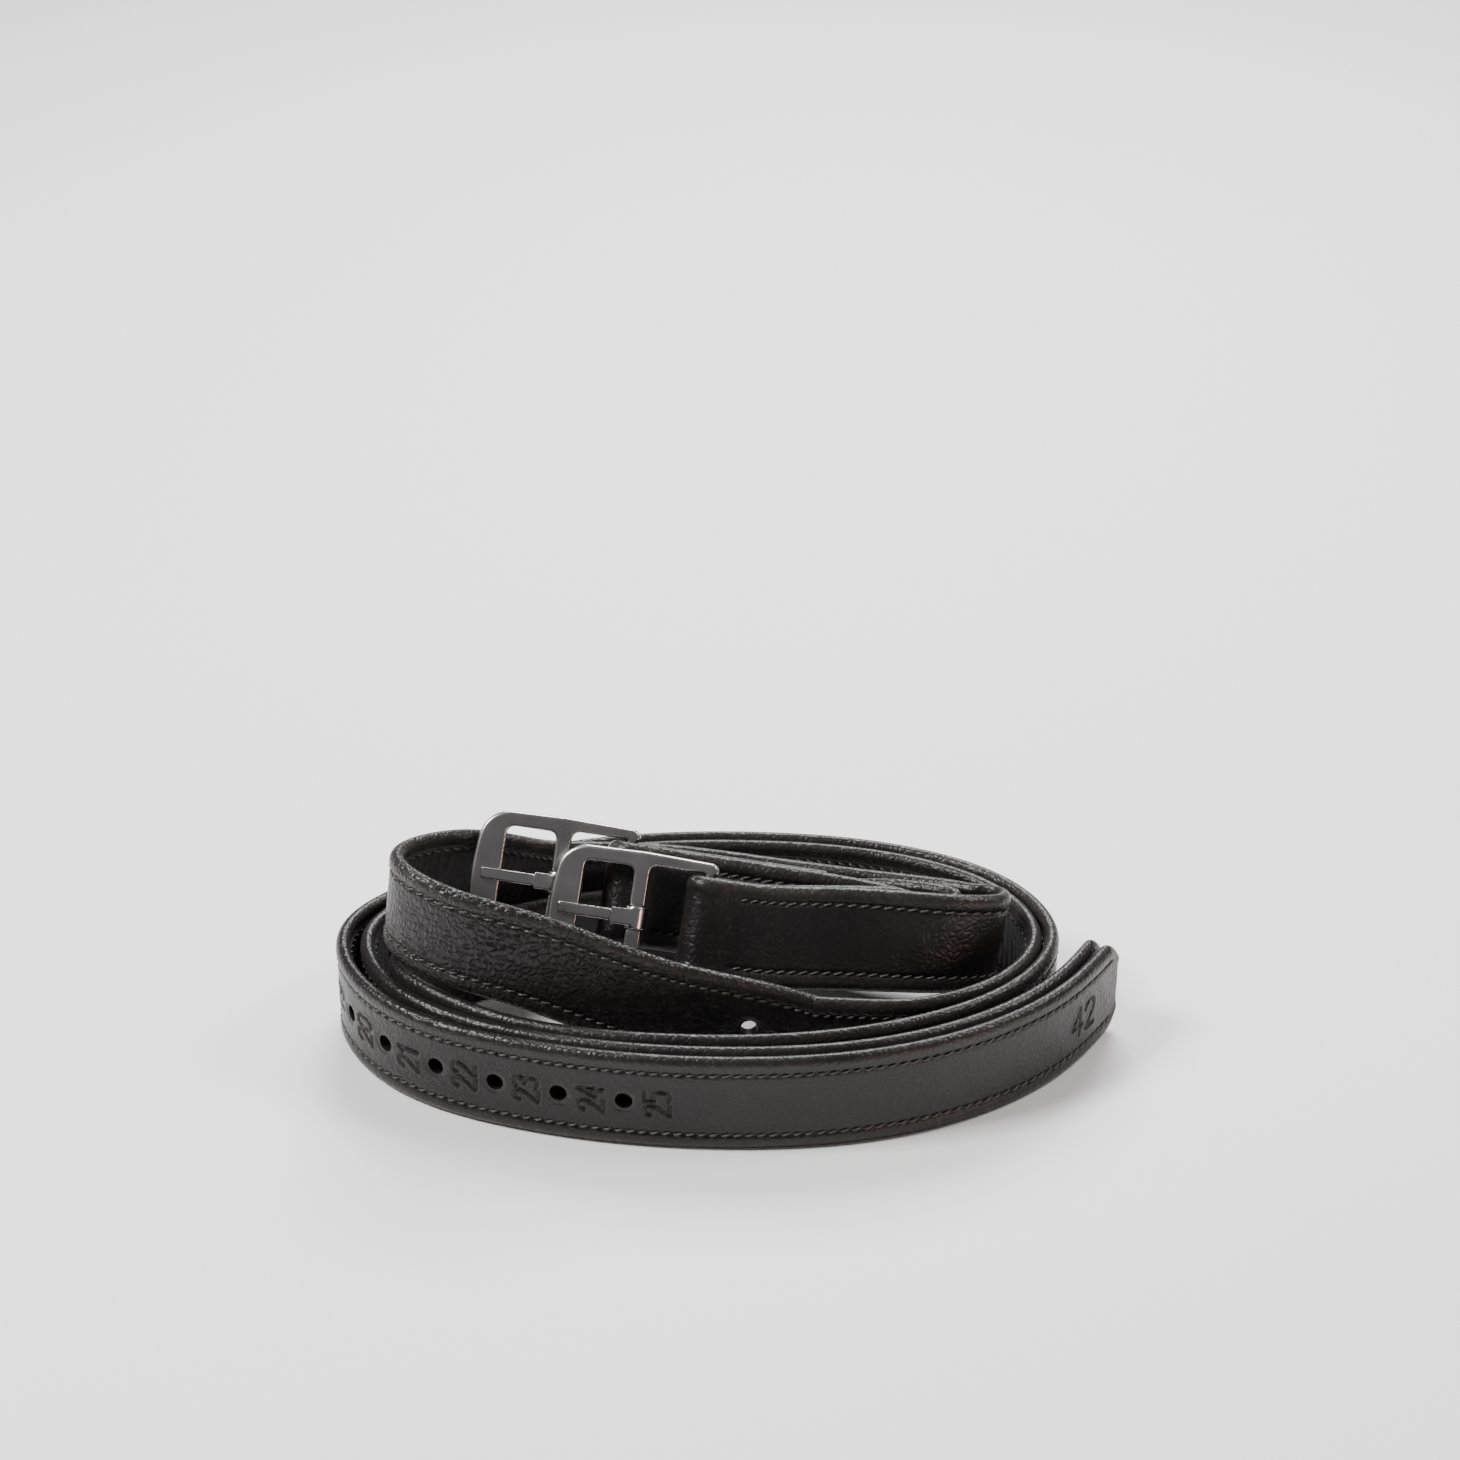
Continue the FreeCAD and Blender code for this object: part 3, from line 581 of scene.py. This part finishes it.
def punch(strap, target):
    """Cuts the tongue holes through a strap's piece."""
    place, along, up, out = strap.frames(np.array(hole_distances(strap)))
    sides = CUTTER_SIDES
    points = []
    faces = []
    for centre, x, y, z in zip(place + up * WIDTH / 2.0, along, up, out):
        base = len(points)
        for end in (-0.5, 0.5):
            for side in range(sides):
                angle = 2.0 * math.pi * side / sides
                ring = x * math.cos(angle) + y * math.sin(angle)
                points.append(centre + ring * HOLE_RADIUS + z * end * CUTTER_LENGTH)
        for side in range(sides):
            following = (side + 1) % sides
            faces.append([base + side, base + following, base + sides + following, base + sides + side])
        faces.append([base + side for side in range(sides)][::-1])
        faces.append([base + sides + side for side in range(sides)])
    cutter = make_object("cutter", points, faces, COVER)
    modifier = target.modifiers.new("holes", "BOOLEAN")
    modifier.object = cutter
    modifier.operation = "DIFFERENCE"
    modifier.solver = "EXACT"
    depsgraph = bpy.context.evaluated_depsgraph_get()
    mesh = bpy.data.meshes.new_from_object(target.evaluated_get(depsgraph))
    target.modifiers.clear()
    target.data = mesh
    mesh.set_sharp_from_angle(angle=math.radians(50.0))
    bpy.data.objects.remove(cutter)


LINING_COLUMNS = 40


def lining(strap):
    """The strip on the inner side, gathered into small upright folds where the strap bends, with painted
    highlight on its edge line and on the folds' crests.
    """
    distance, (place, along, up, out) = strap.whole(np.arange(0.0, strap.total - 1.0, 0.6))
    u_face = np.linspace(LINING_INSET, WIDTH - LINING_INSET, LINING_COLUMNS)
    s, across = np.meshgrid(distance, u_face, indexing="ij")
    edge = np.minimum(across, WIDTH - across)
    bend = np.clip(strap.bend(np.abs(distance)) * 28.0, 0.0, 1.0)[:, None]
    wander = 0.8 * np.sin(0.21 * s) + 0.25 * np.sin(0.9 * across + 0.5 * s)
    folds = np.sin(2.0 * math.pi * s / 2.3 + wander)
    between_rows = smooth((edge - ROW_INSET - 0.3) / 1.6)
    face = LINING_FACE + bend * (0.02 + 0.16 * folds) * between_rows
    face -= (0.22 + 0.12 * np.cos(2.0 * math.pi * s / STITCH_PITCH)) * hump(edge - ROW_INSET, 0.45)
    face -= 0.25 * hump(edge - LINING_INSET, 0.3)
    back = np.full((len(distance), 2), 1.2)
    h = -np.concatenate([face, back], axis=1)
    h = EDGE_MIDDLE + (h - EDGE_MIDDLE) * tip_thinning(strap, distance)[:, None]
    u_all = np.concatenate([u_face, [WIDTH - LINING_INSET, LINING_INSET]])
    u = narrowed(strap, distance[:, None], u_all[None, :])
    points = place[:, None, :] + up[:, None, :] * u[..., None] + out[:, None, :] * h[..., None]
    worn = np.zeros(h.shape)
    # Painted highlight: a lighter line along the lining's edge, and lighter crests on the folds where the
    # strap bends.
    worn[:, :LINING_COLUMNS] = np.maximum(0.9 * hump(edge - LINING_INSET, 0.35), 0.5 * bend * (folds > 0.6))
    grain = np.full(h.shape, 0.5)
    faces = [corners[::-1] for corners in tube_faces(len(distance), h.shape[1])]
    made = make_object(strap.name + "_lining_leather", points.reshape(-1, 3), faces, LINING,
                       {"worn": worn, "grain": grain})
    punch(strap, made)
    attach(made, "root")
    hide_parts(strap.name + "_lining")
    return made


STITCH_LENGTH = 2.15
STITCH_RADIUS = 0.3
STITCH_SLANT = 0.32


def stitches(strap, row, face):
    """One row of separate stitches, each a short bowed tube whose ends go into the leather."""
    starts = np.arange(ROW_START, strap.total - ROW_END, STITCH_PITCH) + STITCH_PITCH / 2.0
    if face == "front":
        laps = -np.arange(ROW_START, LAP_LENGTH - 2.0, STITCH_PITCH)
        starts = np.concatenate([laps, starts])
    else:
        starts = starts[starts > LAP_LENGTH + 2.0]
    rings = 7
    sides = 8
    t = np.linspace(-1.0, 1.0, rings)
    angle = np.linspace(0.0, 2.0 * math.pi, sides, endpoint=False)
    s = starts[:, None] + t[None, :] * STITCH_LENGTH / 2.0
    place, along, up, out = strap.frames(s)
    level = FACE - 0.16 if face == "front" else LINING_FACE - 0.1
    h = level + 0.16 - 0.42 * t**2
    sign = 1.0 if face == "front" else -1.0
    radius = STITCH_RADIUS * np.sqrt(np.clip(1.0 - 0.55 * t**4, 0.0, 1.0))
    u = (WIDTH - ROW_INSET if row == "upper" else ROW_INSET) + STITCH_SLANT * t
    u = narrowed(strap, s, u[None, :])
    centre = place + up * u[..., None] + out * (sign * h)[None, :, None]
    ring = (up[:, :, None, :] * np.cos(angle)[None, None, :, None]
            + out[:, :, None, :] * np.sin(angle)[None, None, :, None]) * radius[None, :, None, None]
    points = (centre[:, :, None, :] + ring).reshape(-1, 3)
    one = tube_faces(rings, sides)
    faces = []
    for index in range(len(starts)):
        base = index * rings * sides
        faces += [[base + corner for corner in side] for side in one]
    thread = "needle" if face == "front" else "bobbin"
    made = make_object(f"{strap.name}_{thread}_stitches_{row}", points, faces, THREAD)
    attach(made, "root")
    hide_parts(f"{strap.name}_{thread}_thread_{row}")
    return made


for strap in STRAPS:
    cover(strap)
    lining(strap)
    for row in ("upper", "lower"):
        for face in ("front", "back"):
            stitches(strap, row, face)

# ---------------------------------------------------------------- buckles



FRAME_GRID = 0.2            # mesh spacing, and passes that round the edges
FRAME_PASSES = 45
TONGUE_GRID = 0.15
TONGUE_PASSES = 25


def rounded_steel(node, body, finish, grid, passes):
    """The CAD piece with its edges polished round by wear, as forged and tumbled buckles are."""
    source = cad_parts[node]
    made = bpy.data.objects.new(node + "_polished", source.data.copy())
    made.matrix_world = source.matrix_world.copy()
    bpy.context.scene.collection.objects.link(made)
    remesh = made.modifiers.new("remesh", "REMESH")
    remesh.mode = "VOXEL"
    remesh.voxel_size = grid * MM
    soften = made.modifiers.new("soften", "SMOOTH")
    soften.factor = 0.5
    soften.iterations = passes
    bpy.context.view_layer.update()
    depsgraph = bpy.context.evaluated_depsgraph_get()
    mesh = bpy.data.meshes.new_from_object(made.evaluated_get(depsgraph))
    made.modifiers.clear()
    made.data = mesh
    mesh.materials.clear()
    mesh.materials.append(finish)
    mesh.shade_smooth()
    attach(made, body)
    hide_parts(node)


for side in ("near", "far"):
    rounded_steel(side + "_buckle_frame", side + "_frame", FRAME_STEEL, FRAME_GRID,
                  FRAME_PASSES)
    rounded_steel(side + "_buckle_tongue", side + "_tongue", TONGUE_STEEL, TONGUE_GRID,
                  TONGUE_PASSES)

# ---------------------------------------------------------------- floor and light


def floor():
    bpy.ops.mesh.primitive_plane_add(size=8.0, location=(0.0, 0.0, 0.0))
    made = bpy.context.object
    made.name = "floor"
    finish, nodes, links, shader = material("pale_floor")
    shader.inputs["Base Color"].default_value = (0.9, 0.9, 0.9, 1.0)
    shader.inputs["Roughness"].default_value = 0.6
    made.data.materials.append(finish)


def area_light(name, place, size, energy, colour, target=(0.0, 0.0, 0.02)):
    light = bpy.data.lights.new(name, "AREA")
    light.size = size
    light.energy = energy
    light.color = colour
    made = bpy.data.objects.new(name, light)
    made.location = place
    made.rotation_euler = (Vector(target) - Vector(place)).to_track_quat("-Z", "Y").to_euler()
    bpy.context.scene.collection.objects.link(made)


floor()
area_light("key", (-0.75, -0.15, 0.95), 0.35, 20.0, (1.0, 0.99, 0.98))
area_light("back_top", (0.1, 0.85, 0.9), 0.6, 22.0, (1.0, 1.0, 1.0))
area_light("right_top", (0.7, 0.1, 0.8), 0.3, 6.0, (1.0, 0.95, 0.93))
area_light("warm_low", (0.75, -0.75, 0.12), 0.3, 2.2, (1.0, 0.62, 0.54))
world = bpy.data.worlds.new("studio")
world.use_nodes = True
world.node_tree.nodes["Background"].inputs["Color"].default_value = (0.9, 0.92, 0.95, 1.0)
world.node_tree.nodes["Background"].inputs["Strength"].default_value = 0.2
bpy.context.scene.world = world
